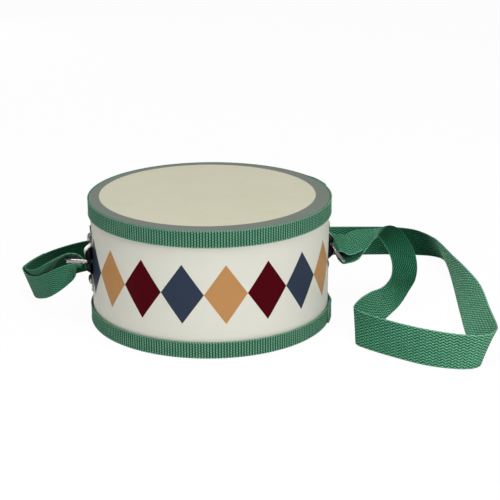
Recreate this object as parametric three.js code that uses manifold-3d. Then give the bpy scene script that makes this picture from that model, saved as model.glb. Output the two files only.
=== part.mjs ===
// Child's toy drum: a bent plywood shell in a printed sleeve, two film heads, green webbing
// trims with lapped ends, two riveted ring brackets and one green webbing shoulder strap.
// Millimetres, +Z up. The origin is the middle of the bottom head's outer face.
import * as THREE from 'three';
import { mergeVertices } from 'three/addons/utils/BufferGeometryUtils.js';
import Module from 'manifold-3d';

const wasm = await Module();
wasm.setup();

// Drum
const DRUM_HEIGHT = 106.2;
const SLEEVE_RADIUS = 100;
const SLEEVE_THICKNESS = 0.4;
const SHELL_WALL = 4;
const LAYER_GAP = 0.15;
const SEAM_GAP = 0.6;
const FACET_DEG = 3;

// Hoops inside both rims, and the batten glued over the shell's joint
const HOOP_WALL = 4;
const HOOP_DEPTH = 12;
const BATTEN_WIDTH = 30;
const BATTEN_THICKNESS = 3;

// Heads and rim trims
const FILM_THICKNESS = 0.4;
const SKIRT_DROP = 11;
const TRIM_WIDTH = 13.5;
const TRIM_THICKNESS = 1.2;
const TRIM_LAP_DEG = 11;
const TRIM_RAMP_DEG = 9;
const TRIM_SETBACK = 0.2;
const TRIM_END_GAP_DEG = 0.15;

// Directions round the drum, from +X towards +Y
const SHELL_SEAM_DEG = 90;
const SLEEVE_SEAM_DEG = 96;
const HOOP_SEAM_DEG = 60;
const TOP_TRIM_END_DEG = 15;
const BOTTOM_TRIM_END_DEG = -16;
const RIGHT_BRACKET_DEG = 9;
const LEFT_BRACKET_DEG = RIGHT_BRACKET_DEG - 180;

// Bracket: a leaf-shaped plate with a raised bridge and two domed rivets
const BRACKET_HEIGHT = 55.5;
const PLATE_LENGTH = 58;
const PLATE_WIDTH = 13;
const PLATE_THICKNESS = 1;
const PLATE_STANDOFF = 0.2;
const LOBE_MARGIN = 0.7;
const TIP_LENGTH = 3;
const TIP_FULLNESS = 0.7;
const WAIST_FULLNESS = 0.4;
const BRIDGE_LENGTH = 25;
const BRIDGE_RAMP = 4;
const BRIDGE_RISE = 5.2;
const RIVET_SPACING = 36;
const RIVET_HEAD_RADIUS = 4.4;
const RIVET_HEAD_HEIGHT = 2.3;
const RIVET_SHANK_RADIUS = 1.5;
const RIVET_TAIL_RADIUS = 2.6;
const RIVET_TAIL_HEIGHT = 1.1;
const WASHER_RADIUS = 5;
const WASHER_THICKNESS = 0.9;
const TURNED_SIDES = 20;
const FIT_GAP = 0.3;

// Wire rings that carry the strap
const RING_WIRE_RADIUS = 1.5;
const RING_WIDTH = 33.4;
const RING_REACH = 17;
const RING_CORNER = 3.5;

// How each ring lies in its bridge: height of its bar, slant of the bar and lift of the ring
const LEFT_REST = { height: 53, slantDeg: 20, liftDeg: 6 };
const RIGHT_REST = { height: 60, slantDeg: 13, liftDeg: -52 };

// Strap webbing
const STRAP_WIDTH = 29.5;
const STRAP_THICKNESS = 1.3;
const STEPS_PER_POINT = 3;

const COLOURS = {
  print: 0xdcdccf,
  wood: 0xd8bd8c,
  head: 0xd2ceb9,
  green: 0x4c8266,
  steel: 0xb9bcbf,
};

const fabric = () => new THREE.MeshStandardMaterial({ color: COLOURS.green, roughness: 0.9, metalness: 0 });
const wood = () => new THREE.MeshStandardMaterial({ color: COLOURS.wood, roughness: 0.7, metalness: 0 });
const steel = () => new THREE.MeshStandardMaterial({ color: COLOURS.steel, roughness: 0.2, metalness: 1 });
const film = () => new THREE.MeshStandardMaterial({ color: COLOURS.head, roughness: 0.35, metalness: 0 });
const print = () => new THREE.MeshStandardMaterial({ color: COLOURS.print, roughness: 0.4, metalness: 0 });

// Radii and levels that follow from the sizes above
const sleeveInner = SLEEVE_RADIUS - SLEEVE_THICKNESS;
const shellOuter = sleeveInner - LAYER_GAP;
const shellInner = shellOuter - SHELL_WALL;
const hoopOuter = shellInner - LAYER_GAP;
const hoopInner = hoopOuter - HOOP_WALL;
const skirtInner = SLEEVE_RADIUS + LAYER_GAP;
const skirtOuter = skirtInner + FILM_THICKNESS;
const trimInner = skirtOuter + LAYER_GAP;
const shellBottom = FILM_THICKNESS + LAYER_GAP;
const shellTop = DRUM_HEIGHT - FILM_THICKNESS - LAYER_GAP;
const plateSeat = SLEEVE_RADIUS + PLATE_STANDOFF;
const plateFace = plateSeat + PLATE_THICKNESS;
const hingeRadius = plateSeat + BRIDGE_RISE - RING_WIRE_RADIUS - FIT_GAP;
const rivetHole = RIVET_SHANK_RADIUS + FIT_GAP;
const washerReach = WASHER_RADIUS + FIT_GAP;
const washerFace = Math.sqrt(shellInner ** 2 - washerReach ** 2) - FIT_GAP;

const radians = THREE.MathUtils.degToRad;

// Geometry with shared corners and positions only
function weld(geometry) {
  const bare = geometry.clone();
  bare.deleteAttribute('normal');
  bare.deleteAttribute('uv');
  return mergeVertices(bare, 1e-4);
}

function toManifold(geometry) {
  const welded = weld(geometry);
  return new wasm.Manifold(new wasm.Mesh({
    numProp: 3,
    vertProperties: new Float32Array(welded.attributes.position.array),
    triVerts: new Uint32Array(welded.index.array),
  }));
}

function fromManifold(manifold) {
  const mesh = manifold.getMesh();
  const geometry = new THREE.BufferGeometry();
  geometry.setAttribute('position', new THREE.BufferAttribute(new Float32Array(mesh.vertProperties), 3));
  geometry.setIndex(new THREE.BufferAttribute(new Uint32Array(mesh.triVerts), 1));
  geometry.computeVertexNormals();
  return geometry;
}

function cut(geometry, tools) {
  let result = toManifold(geometry);
  for (const tool of tools) result = result.subtract(toManifold(tool));
  return fromManifold(result);
}

// A closed skin over rows of points: row after row, each row a closed loop.
// With closed = true the last row joins the first, otherwise both ends get a cap.
function skin(rows, closed = false) {
  const sides = rows[0].length;
  const positions = rows.flat().flatMap((point) => [point.x, point.y, point.z]);
  const faces = [];
  const last = closed ? rows.length : rows.length - 1;
  for (let row = 0; row < last; row += 1) {
    const next = (row + 1) % rows.length;
    for (let side = 0; side < sides; side += 1) {
      const beside = (side + 1) % sides;
      const a = row * sides + side;
      const b = row * sides + beside;
      const c = next * sides + beside;
      const d = next * sides + side;
      faces.push(a, b, c, a, c, d);
    }
  }
  if (!closed) {
    const end = (rows.length - 1) * sides;
    for (let side = 1; side < sides - 1; side += 1) {
      faces.push(0, side + 1, side);
      faces.push(end, end + side, end + side + 1);
    }
  }
  const geometry = new THREE.BufferGeometry();
  geometry.setAttribute('position', new THREE.Float32BufferAttribute(positions, 3));
  geometry.setIndex(faces);
  geometry.computeVertexNormals();
  return geometry;
}

// A flat strip bent round the drum, from one direction to another. rise(deg) lifts it outwards.
function wrap({ from, to, inner, thickness, bottom, top, rise = () => 0 }) {
  const steps = Math.ceil((to - from) / FACET_DEG);
  const rows = [];
  for (let step = 0; step <= steps; step += 1) {
    const deg = from + ((to - from) * step) / steps;
    const angle = radians(deg);
    const near = inner + rise(deg);
    const far = near + thickness;
    const corner = (radius, z) => new THREE.Vector3(radius * Math.cos(angle), radius * Math.sin(angle), z);
    rows.push([corner(near, bottom), corner(near, top), corner(far, top), corner(far, bottom)]);
  }
  return skin(rows);
}

// A strip that meets itself with a narrow joint at one direction
function hoop({ seam, inner, thickness, bottom, top }) {
  const half = THREE.MathUtils.radToDeg(SEAM_GAP / 2 / inner);
  return wrap({ from: seam + half, to: seam + 360 - half, inner, thickness, bottom, top });
}

// A webbing trim whose outer end laps over its inner end and stops at one direction
function lappedTrim(endDeg, bottom, top) {
  const from = endDeg - 360;
  const innerEnd = from + 360 + TRIM_LAP_DEG;
  const lift = TRIM_THICKNESS + LAYER_GAP;
  const smooth = (x) => x * x * (3 - 2 * x);
  const rise = (deg) => {
    const along = (deg - from - TRIM_LAP_DEG) / TRIM_RAMP_DEG;
    return lift * (1 - smooth(THREE.MathUtils.clamp(along, 0, 1)));
  };
  const to = innerEnd - TRIM_END_GAP_DEG;
  return wrap({ from, to, inner: trimInner, thickness: TRIM_THICKNESS, bottom, top, rise });
}

// A turned shape about +Z from a profile of [radius, height] points
function turned(profile, segments) {
  const points = profile.map(([radius, height]) => new THREE.Vector2(radius, height));
  const geometry = new THREE.LatheGeometry(points, segments);
  geometry.rotateX(Math.PI / 2);
  return weld(geometry);
}

// A film head with its skirt, for the rim whose outer face is at the given level
function head(level, inwards) {
  const edge = FILM_THICKNESS / 2;
  const outline = [
    [0, level],
    [skirtOuter - edge, level],
    [skirtOuter, level + inwards * edge],
    [skirtOuter, level + inwards * SKIRT_DROP],
    [skirtInner, level + inwards * SKIRT_DROP],
    [skirtInner, level + inwards * FILM_THICKNESS],
    [0, level + inwards * FILM_THICKNESS],
  ];
  const upwards = inwards < 0 ? [...outline].reverse() : outline;
  return turned(upwards, 360 / FACET_DEG);
}

// A pin along +X, radius and extent given, for the rivet holes
function drill(deg, z, from, to) {
  const geometry = new THREE.CylinderGeometry(rivetHole, rivetHole, to - from, TURNED_SIDES);
  geometry.rotateZ(Math.PI / 2);
  geometry.translate((from + to) / 2, 0, z);
  geometry.rotateZ(radians(deg));
  return geometry;
}

const bracketDirections = [LEFT_BRACKET_DEG, RIGHT_BRACKET_DEG];
const rivetLevels = [BRACKET_HEIGHT + RIVET_SPACING / 2, BRACKET_HEIGHT - RIVET_SPACING / 2];
const rivetHoles = () => bracketDirections.flatMap(
  (deg) => rivetLevels.map((z) => drill(deg, z, shellInner - SHELL_WALL, plateFace)),
);

// The leaf outline: pointed ends, full at the rivets and at the middle
function leafShape() {
  const half = PLATE_LENGTH / 2;
  const side = PLATE_WIDTH / 2;
  const lobe = RIVET_SPACING / 2;
  const lobeSide = RIVET_HEAD_RADIUS + LOBE_MARGIN;
  const tipSide = lobeSide * TIP_FULLNESS;
  const tip = half - TIP_LENGTH;
  const waistSide = lobeSide + WAIST_FULLNESS;
  const waist = BRIDGE_LENGTH / 2;
  const shape = new THREE.Shape();
  shape.moveTo(0, -half);
  shape.quadraticCurveTo(tipSide, -tip, lobeSide, -lobe);
  shape.quadraticCurveTo(waistSide, -waist, side, 0);
  shape.quadraticCurveTo(waistSide, waist, lobeSide, lobe);
  shape.quadraticCurveTo(tipSide, tip, 0, half);
  shape.quadraticCurveTo(-tipSide, tip, -lobeSide, lobe);
  shape.quadraticCurveTo(-waistSide, waist, -side, 0);
  shape.quadraticCurveTo(-waistSide, -waist, -lobeSide, -lobe);
  shape.quadraticCurveTo(-tipSide, -tip, 0, -half);
  return shape;
}

// The plate's section along its length: flat ends and the bridge pressed up between them
function bridgeSection() {
  const half = PLATE_LENGTH / 2;
  const foot = BRIDGE_LENGTH / 2;
  const rampSteps = 6;
  const line = [[-half, 0]];
  for (let step = 0; step <= rampSteps; step += 1) {
    const share = step / rampSteps;
    line.push([-foot + BRIDGE_RAMP * share, (BRIDGE_RISE * (1 - Math.cos(Math.PI * share))) / 2]);
  }
  const mirrored = line.map(([z, rise]) => [-z, rise]).reverse();
  const full = [...line, ...mirrored];
  const upper = full.map(([z, rise]) => new THREE.Vector2(plateFace + rise, z));
  const lower = full.map(([z, rise]) => new THREE.Vector2(plateSeat + rise, z)).reverse();
  return new THREE.Shape([...upper, ...lower]);
}

// Plate at +X, its length along Z: the bent strip trimmed to the leaf outline, less its holes
function plate() {
  const strip = new THREE.ExtrudeGeometry(bridgeSection(), { depth: PLATE_WIDTH + 2, bevelEnabled: false });
  strip.translate(0, 0, -(PLATE_WIDTH + 2) / 2);
  strip.rotateX(Math.PI / 2);
  const outline = new THREE.ExtrudeGeometry(leafShape(), { depth: BRIDGE_RISE * 3, bevelEnabled: false, curveSegments: 8 });
  outline.rotateX(Math.PI / 2);
  outline.rotateZ(Math.PI / 2);
  outline.translate(plateSeat - BRIDGE_RISE, 0, 0);
  const holes = [1, -1].map((side) => drill(0, (side * RIVET_SPACING) / 2, plateSeat - 1, plateFace + 1));
  const trimmed = toManifold(strip).intersect(toManifold(outline));
  return cut(fromManifold(trimmed), holes);
}

// Rivet along +X: clinched tail behind its washer, shank, and domed head on the plate
function rivet() {
  const tailEnd = washerFace - WASHER_THICKNESS - LAYER_GAP - RIVET_TAIL_HEIGHT;
  const tailSeat = tailEnd + RIVET_TAIL_HEIGHT;
  const headSeat = plateFace + LAYER_GAP;
  const domeSteps = 5;
  const profile = [
    [0, tailEnd],
    [RIVET_TAIL_RADIUS, tailEnd],
    [RIVET_TAIL_RADIUS, tailSeat],
    [RIVET_SHANK_RADIUS, tailSeat],
    [RIVET_SHANK_RADIUS, headSeat],
    [RIVET_HEAD_RADIUS, headSeat],
  ];
  for (let step = 1; step <= domeSteps; step += 1) {
    const angle = (Math.PI / 2) * (step / domeSteps);
    profile.push([RIVET_HEAD_RADIUS * Math.cos(angle), headSeat + RIVET_HEAD_HEIGHT * Math.sin(angle)]);
  }
  profile[profile.length - 1][0] = 0;
  const geometry = turned(profile, TURNED_SIDES);
  geometry.rotateY(Math.PI / 2);
  return geometry;
}

function washer() {
  const back = washerFace - WASHER_THICKNESS;
  const profile = [
    [rivetHole, back],
    [WASHER_RADIUS, back],
    [WASHER_RADIUS, washerFace],
    [rivetHole, washerFace],
    [rivetHole, back],
  ];
  const geometry = turned(profile, TURNED_SIDES);
  geometry.rotateY(Math.PI / 2);
  return geometry;
}

// Wire ring in the XY plane: its hinge bar lies along Y at x = 0, its outer bar at x = RING_REACH
function wireRing() {
  const wireSides = 10;
  const cornerSteps = 5;
  const path = [];
  const half = RING_WIDTH / 2;
  const corners = [
    [RING_REACH - RING_CORNER, -half + RING_CORNER, -90],
    [RING_REACH - RING_CORNER, half - RING_CORNER, 0],
    [RING_CORNER, half - RING_CORNER, 90],
    [RING_CORNER, -half + RING_CORNER, 180],
  ];
  for (const [x, y, startDeg] of corners) {
    for (let step = 0; step <= cornerSteps; step += 1) {
      const angle = radians(startDeg + (90 * step) / cornerSteps);
      const outward = new THREE.Vector3(Math.cos(angle), Math.sin(angle), 0);
      path.push({ centre: new THREE.Vector3(x, y, 0).addScaledVector(outward, RING_CORNER), outward });
    }
  }
  const rows = path.map(({ centre, outward }) => {
    const row = [];
    for (let side = 0; side < wireSides; side += 1) {
      const angle = (2 * Math.PI * side) / wireSides;
      row.push(centre.clone()
        .addScaledVector(outward, RING_WIRE_RADIUS * Math.cos(angle))
        .add(new THREE.Vector3(0, 0, RING_WIRE_RADIUS * Math.sin(angle))));
    }
    return row.reverse();
  });
  return skin(rows, true);
}

// The strap's route, chosen by hand. Each station gives one edge of the webbing and then the
// other: on the table the first is the lower edge, at the rings it is the edge further back.
// Outer ply of the left end, from its free end to the ring
const LEFT_TAIL_ROUTE = [
  [[-146.3, 77.5, 0.7], [-149.8, 76, 28.9]],
  [[-151.6, 66.2, 0.8], [-156.7, 63.3, 28.7]],
  [[-155.4, 56, 0.7], [-162, 52, 28]],
  [[-157, 48, 0.7], [-165, 42, 27]],
  [[-154.8, 40, 0.9], [-161, 30, 26.5]],
  [[-151.5, 32, 2.1], [-155, 18.5, 28]],
  [[-146.3, 19.4, 6], [-147.1, 5.4, 32]],
  [[-140.8, 6.7, 10.7], [-139.8, -5.6, 37.5]],
  [[-134.8, -3.8, 16.2], [-132.6, -15.4, 43.3]],
  [[-127.8, -10.5, 22.7], [-125.2, -23, 48.6]],
  [[-120.4, -12.8, 29.6], [-118, -28.6, 52.4]],
  [[-114.2, -10, 36], [-112.5, -30, 53.6]],
];
// Inner ply, from the left ring round the turn on to the table
const LEFT_PLY_ROUTE = [
  [[-126, -0.5, 53.5], [-122.2, -28, 62.3]],
  [[-131.5, 2, 44.5], [-127.2, -23.5, 59.6]],
  [[-136, 5, 36], [-132.6, -17, 55]],
  [[-140.3, 9.5, 27.5], [-138.7, -8, 48.3]],
  [[-144.5, 17.5, 19.5], [-145, 1.5, 41.8]],
  [[-148.5, 27, 12.5], [-151.3, 13.3, 36.5]],
  [[-151.6, 37, 7], [-156.5, 26.5, 32.8]],
  [[-152.8, 46, 4], [-159.8, 38.5, 31.3]],
  [[-152.4, 55, 2.3], [-159, 50.5, 30.3]],
  [[-149.5, 65.5, 1.3], [-154.6, 62.5, 30]],
];
// The length that lies on the table and then rises to the right ring
const MAIN_ROUTE = [
  [[-144.5, 76.5, 0.8], [-148, 75, 29.9]],
  [[-136, 90, 0.4], [-138.4, 88.5, 29.6]],
  [[-120, 106, 0], [-121, 105.5, 29.4]],
  [[-88, 125, 0], [-88, 125, 29.5]],
  [[-45, 139, 0], [-45, 139, 29.5]],
  [[0, 144, 0], [0, 144, 29.5]],
  [[50, 147, 0], [50, 146, 29.5]],
  [[100, 148, 0], [98, 146, 29.4]],
  [[145, 148, 0], [142, 145.5, 29.2]],
  [[178, 147.5, 0], [172, 145, 28.6]],
  [[201, 144.5, 0], [191, 142, 27.8]],
  [[214, 140, 0], [202.3, 133.5, 26.4]],
  [[222.3, 129.5, 0], [208.8, 123, 25.6]],
  [[222.8, 105.6, 0], [211.7, 105.6, 27.5]],
  [[219.6, 59.8, 0], [217.5, 59.8, 29.4]],
  [[216.5, 25, 0], [224.3, 25, 28.5]],
  [[213.7, -7.9, 0], [231, -7.9, 23.8]],
  [[210.2, -55.3, 0], [229.5, -55.3, 22.3]],
  [[210, -95, 0], [227.5, -95, 23.8]],
  [[211.5, -115, 0], [222, -116, 27.5]],
  [[206.5, -125.5, 0], [211.5, -128, 28.9]],
  [[192, -127.5, 0], [193, -128, 29.5]],
  [[168, -119.5, 0], [168, -116.5, 29.3]],
  [[144, -102, 0], [143, -98.5, 29.3]],
  [[124.5, -84.5, 0], [123.5, -79, 29]],
  [[117.8, -75.5, 0], [117.2, -68.5, 28.7]],
  [[120.5, -66.5, 0], [117, -60, 28.6]],
  [[131, -48.5, 0], [124.8, -42, 28]],
  [[143, -31, 1], [133.5, -31, 28.9]],
  [[153, -16.5, 3], [141, -24, 28.8]],
  [[162, -7, 8], [147, -18.5, 30]],
  [[171, 3, 17], [152, -12, 33.6]],
  [[176.6, 7.6, 25], [154.2, -6.5, 38]],
  [[178.9, 14.5, 34], [154.7, 0.9, 43.8]],
  [[177.8, 22.7, 44], [153.1, 7.5, 49.2]],
  [[173.5, 31.9, 52.4], [150.1, 14, 53.8]],
  [[167.1, 39.8, 59.6], [147.4, 18, 57.5]],
];
// Outer ply of the right end, from the arch to the ring
const RIGHT_PLY_ROUTE = [
  [[159.1, 47, 61.6], [145.4, 21, 59.9]],
  [[147.3, 51, 59.8], [142.9, 22.5, 58.7]],
  [[135.7, 50, 58.6], [139.8, 22, 55.5]],
  [[125.5, 46, 57.2], [136.5, 20, 51]],
  [[117.3, 41.1, 53.6], [132.3, 17, 46.7]],
  [[115.2, 38, 47.4], [126.2, 11.6, 42]],
];
// Inner ply, from the ring to its stitched end
const RIGHT_TAIL_ROUTE = [
  [[109.5, 33.5, 58.5], [122.4, 8.5, 47]],
  [[116.3, 40.2, 56.1], [132.1, 16, 49.8]],
];

// Where the strap passes through each ring: distance along the ring from its bar, then height
// above the ring's plane at the strap's back edge and at its front edge
const LEFT_LOOP = [
  [8.5, -5.2, -2.6], [5.5, -4.8, -1.8], [4.8, -2.4, 0.6], [6.4, 1, 3.2], [10.5, 3.4, 5.4], [15, 4, 5.8],
  [18.5, 3.6, 5.2],
];
const RIGHT_LOOP = [
  [20.3, -1.4, -1.4], [17.4, -2.9, -2.9], [13, -2.9, -2.9], [9.4, -2, -2], [8.1, 0.3, 0.3], [9.3, 2.6, 2.6],
  [12, 4.7, 4.7],
];

// The middle of each ring's bar for the routes above. The route moves with the ring: wholly up to
// the near distance from the bar, and not at all beyond the far one.
const LEFT_ROUTE_BAR = [-102.3, -16.2, 51];
const RIGHT_ROUTE_BAR = [102.3, 16.2, 60];
const FOLLOW_NEAR = 30;
const FOLLOW_FAR = 90;

// Names along the strap, and the number of stations in each
const STRAP_PARTS = [
  ['strap_back_left', 4],
  ['strap_back_right', 5],
  ['strap_side', 9],
  ['strap_front', 7],
  ['strap_arch', 12],
];

// The ring's own frame: X along the ring from its bar, Y along the bar, Z above its plane
function ringFrame(deg, rest) {
  const turn = new THREE.Matrix4().makeRotationZ(radians(deg));
  const place = new THREE.Matrix4().makeTranslation(hingeRadius, 0, rest.height);
  const slant = new THREE.Matrix4().makeRotationX(radians(rest.slantDeg));
  const lift = new THREE.Matrix4().makeRotationY(-radians(rest.liftDeg));
  return turn.multiply(place).multiply(slant).multiply(lift);
}

// Stations of the webbing through a ring. backSide is the end of the bar further from the viewer.
function loopStations(loop, deg, rest, backSide) {
  const frame = ringFrame(deg, rest);
  return loop.map(([along, backHeight, frontHeight]) => [
    new THREE.Vector3(along, (backSide * STRAP_WIDTH) / 2, backHeight).applyMatrix4(frame).toArray(),
    new THREE.Vector3(along, (-backSide * STRAP_WIDTH) / 2, frontHeight).applyMatrix4(frame).toArray(),
  ]);
}

// Stations drawn beside a ring, moved with its bar
function followRing(stations, drawnBar, deg, rest) {
  const drawn = new THREE.Vector3(...drawnBar);
  const shift = new THREE.Vector3().setFromMatrixPosition(ringFrame(deg, rest)).sub(drawn);
  return stations.map((station) => {
    const [first, second] = station.map((edge) => new THREE.Vector3(...edge));
    const away = first.clone().add(second).multiplyScalar(0.5).distanceTo(drawn);
    const share = 1 - THREE.MathUtils.smoothstep(away, FOLLOW_NEAR, FOLLOW_FAR);
    return [first, second].map((edge) => edge.addScaledVector(shift, share).toArray());
  });
}
const byLeftRing = (stations) => followRing(stations, LEFT_ROUTE_BAR, LEFT_BRACKET_DEG, LEFT_REST);
const byRightRing = (stations) => followRing(stations, RIGHT_ROUTE_BAR, RIGHT_BRACKET_DEG, RIGHT_REST);

const leftEnd = [
  ...byLeftRing(LEFT_TAIL_ROUTE),
  ...loopStations(LEFT_LOOP, LEFT_BRACKET_DEG, LEFT_REST, -1),
  ...byLeftRing(LEFT_PLY_ROUTE),
];
const rightEnd = [
  ...byRightRing(RIGHT_PLY_ROUTE),
  ...loopStations(RIGHT_LOOP, RIGHT_BRACKET_DEG, RIGHT_REST, 1),
  ...byRightRing(RIGHT_TAIL_ROUTE),
];
const route = [...leftEnd, ...byRightRing(MAIN_ROUTE), ...rightEnd];
const edgeLines = [0, 1].map((edge) => new THREE.CatmullRomCurve3(
  route.map((station) => new THREE.Vector3(...station[edge])), false, 'catmullrom', 0.5,
));
const lastStation = route.length - 1;

// The webbing's middle and the direction across it, at a station number that may be fractional
function strapAt(station) {
  const [first, second] = edgeLines.map((line) => line.getPoint(station / lastStation));
  return { centre: first.clone().add(second).multiplyScalar(0.5), across: second.sub(first).normalize() };
}

// One section of the webbing, square to its run and never below the table
function strapRow(station) {
  const { centre, across } = strapAt(station);
  const step = 0.02;
  const before = strapAt(Math.max(station - step, 0)).centre;
  const after = strapAt(Math.min(station + step, lastStation)).centre;
  const outward = after.sub(before).cross(across).normalize();
  const corners = [[-1, -1], [-1, 1], [1, 1], [1, -1]].map(([side, face]) => centre.clone()
    .addScaledVector(across, (side * STRAP_WIDTH) / 2)
    .addScaledVector(outward, (face * STRAP_THICKNESS) / 2));
  const lift = Math.max(0, -Math.min(...corners.map((corner) => corner.z)));
  for (const corner of corners) corner.z += lift;
  return corners.reverse();
}

// A length of webbing between two stations, each end set back from its joint
function webbing(from, to, startBack, endBack) {
  const spacing = (station, other) => strapAt(station).centre.distanceTo(strapAt(other).centre);
  const start = from + startBack / spacing(from, from + 1);
  const end = to - endBack / spacing(to - 1, to);
  const rows = [strapRow(start)];
  const steps = (to - from) * STEPS_PER_POINT;
  for (let step = 1; step < steps; step += 1) rows.push(strapRow(from + step / STEPS_PER_POINT));
  rows.push(strapRow(end));
  return skin(rows);
}

const drum = new THREE.Group();

function add(parent, name, geometry, material) {
  const mesh = new THREE.Mesh(geometry, material);
  mesh.name = name;
  parent.add(mesh);
}

const shellBlank = hoop({
  seam: SHELL_SEAM_DEG, inner: shellInner, thickness: SHELL_WALL, bottom: shellBottom, top: shellTop,
});
const sleeveBlank = hoop({
  seam: SLEEVE_SEAM_DEG, inner: sleeveInner, thickness: SLEEVE_THICKNESS, bottom: shellBottom, top: shellTop,
});
add(drum, 'shell', cut(shellBlank, rivetHoles()), wood());
add(drum, 'printed_sleeve', cut(sleeveBlank, rivetHoles()), print());

const battenHalf = THREE.MathUtils.radToDeg(BATTEN_WIDTH / 2 / shellInner);
const battenInner = shellInner - LAYER_GAP - BATTEN_THICKNESS;
add(drum, 'seam_batten', wrap({
  from: SHELL_SEAM_DEG - battenHalf,
  to: SHELL_SEAM_DEG + battenHalf,
  inner: battenInner,
  thickness: BATTEN_THICKNESS,
  bottom: shellBottom + HOOP_DEPTH + FIT_GAP,
  top: shellTop - HOOP_DEPTH - FIT_GAP,
}), wood());

const rimHoop = (bottom) => hoop({
  seam: HOOP_SEAM_DEG, inner: hoopInner, thickness: HOOP_WALL, bottom, top: bottom + HOOP_DEPTH,
});
add(drum, 'top_hoop', rimHoop(shellTop - HOOP_DEPTH), wood());
add(drum, 'bottom_hoop', rimHoop(shellBottom), wood());
add(drum, 'top_head', head(DRUM_HEIGHT, -1), film());
add(drum, 'bottom_head', head(0, 1), film());
add(drum, 'top_trim', lappedTrim(
  TOP_TRIM_END_DEG, DRUM_HEIGHT - TRIM_SETBACK - TRIM_WIDTH, DRUM_HEIGHT - TRIM_SETBACK,
), fabric());
add(drum, 'bottom_trim', lappedTrim(BOTTOM_TRIM_END_DEG, TRIM_SETBACK, TRIM_SETBACK + TRIM_WIDTH), fabric());

// Each bracket is built facing +X and turned to its direction
function bracket(side, deg, rest) {
  const group = new THREE.Group();
  group.rotation.z = radians(deg);
  group.position.z = BRACKET_HEIGHT;
  add(group, `${side}_plate`, plate(), steel());
  const ends = [['upper', RIVET_SPACING / 2], ['lower', -RIVET_SPACING / 2]];
  for (const [end, z] of ends) {
    const row = new THREE.Group();
    row.position.z = z;
    add(row, `${side}_${end}_rivet`, rivet(), steel());
    add(row, `${side}_${end}_washer`, washer(), steel());
    group.add(row);
  }
  drum.add(group);
  const ring = wireRing();
  ring.applyMatrix4(ringFrame(deg, rest));
  add(drum, `${side}_ring`, ring, steel());
}
bracket('left', LEFT_BRACKET_DEG, LEFT_REST);
bracket('right', RIGHT_BRACKET_DEG, RIGHT_REST);

const half = FIT_GAP / 2;
let station = leftEnd.length;
add(drum, 'strap_left_end', webbing(0, station, 0, half), fabric());
for (const [name, stations] of STRAP_PARTS) {
  add(drum, name, webbing(station, station + stations, half, half), fabric());
  station += stations;
}
add(drum, 'strap_right_end', webbing(station, lastStation, half, 0), fabric());

export default drum;
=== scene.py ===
"""Looks for a child's toy drum: printed diamond shell, cream heads, green webbing trims,
riveted ring brackets and a green webbing shoulder strap that lies on the table."""

import math

import bpy
import numpy as np
from mathutils import Matrix, Vector


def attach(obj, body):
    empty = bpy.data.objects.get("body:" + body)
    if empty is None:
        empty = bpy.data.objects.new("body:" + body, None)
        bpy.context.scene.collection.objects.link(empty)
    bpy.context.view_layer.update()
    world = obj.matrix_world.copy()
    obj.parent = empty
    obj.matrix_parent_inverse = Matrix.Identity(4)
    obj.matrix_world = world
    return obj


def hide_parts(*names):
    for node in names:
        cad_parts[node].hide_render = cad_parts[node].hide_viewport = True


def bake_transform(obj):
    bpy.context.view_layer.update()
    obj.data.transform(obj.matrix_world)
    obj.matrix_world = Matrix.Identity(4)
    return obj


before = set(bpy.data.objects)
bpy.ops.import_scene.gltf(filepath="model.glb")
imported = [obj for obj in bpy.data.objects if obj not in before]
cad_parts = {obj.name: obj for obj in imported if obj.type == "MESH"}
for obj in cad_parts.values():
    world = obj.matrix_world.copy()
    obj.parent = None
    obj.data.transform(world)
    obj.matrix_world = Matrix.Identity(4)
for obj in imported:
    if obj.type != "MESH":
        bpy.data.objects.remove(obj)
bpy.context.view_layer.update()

MM = 0.001
DRUM = "drum"
LEFT_RING = "left_ring"
RIGHT_RING = "right_ring"

# Drum sizes, in millimetres
DRUM_HEIGHT = 106.2
SLEEVE_RADIUS = 100.0
SLEEVE_THICKNESS = 0.4
SLEEVE_BOTTOM = 0.55
SLEEVE_TOP = 105.65
SLEEVE_SEAM_DEG = 96.0
SLEEVE_SEAM_GAP = 0.3
SLEEVE_COLUMNS = 480
SLEEVE_LEVELS = 13
HEAD_RADIUS = 100.55
HEAD_RINGS = (2.0, 30.0, 60.0, 85.0, 96.0)
HEAD_SEGMENTS = 360
HEAD_THICKNESS = 0.4
HEAD_EDGE = 0.9
HEAD_EDGE_STEPS = 6
SKIRT_DROP = 11.0
SKIRT_THICKNESS = 0.4
TRIM_INNER = 100.72
TRIM_THICKNESS = 1.15
TRIM_LIFT = 1.35
TRIM_WIDTH = 13.5
TRIM_SETBACK = 0.2
TRIM_LAP_DEG = 11.0
TRIM_RAMP_DEG = 9.0
TOP_TRIM_END_DEG = 15.0
BOTTOM_TRIM_END_DEG = -16.0
TRIM_END_GAP_DEG = 0.1
TRIM_EDGE_LEVELS = (0.0, 0.25, 0.7)
TRIM_FLAT_START = 1.3
TRIM_FLAT_LEVELS = 15
TRIM_ROUNDING = 0.7
TRIM_EDGE_SHARE = 0.35
RIB_PITCH = 2.3
RIB_DEPTH = 0.42
RIB_COLUMNS = 8
RIB_FULLNESS = 0.8
WEFT_HEIGHT = 0.036
WEFT_PITCH = 1.5
WEFT_COLUMNS = 16
EDGE_THREAD = 0.5
EDGE_THREAD_SIDES = 7
EDGE_THREAD_COLUMNS = 2
EDGE_THREAD_SWELL = 0.26
EDGE_THREAD_SWAY = 0.12
EDGE_THREAD_DEPTH = 0.28
EDGE_THREAD_PLACES = (("upper", TRIM_WIDTH - 0.3), ("lower", 0.45))

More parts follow.
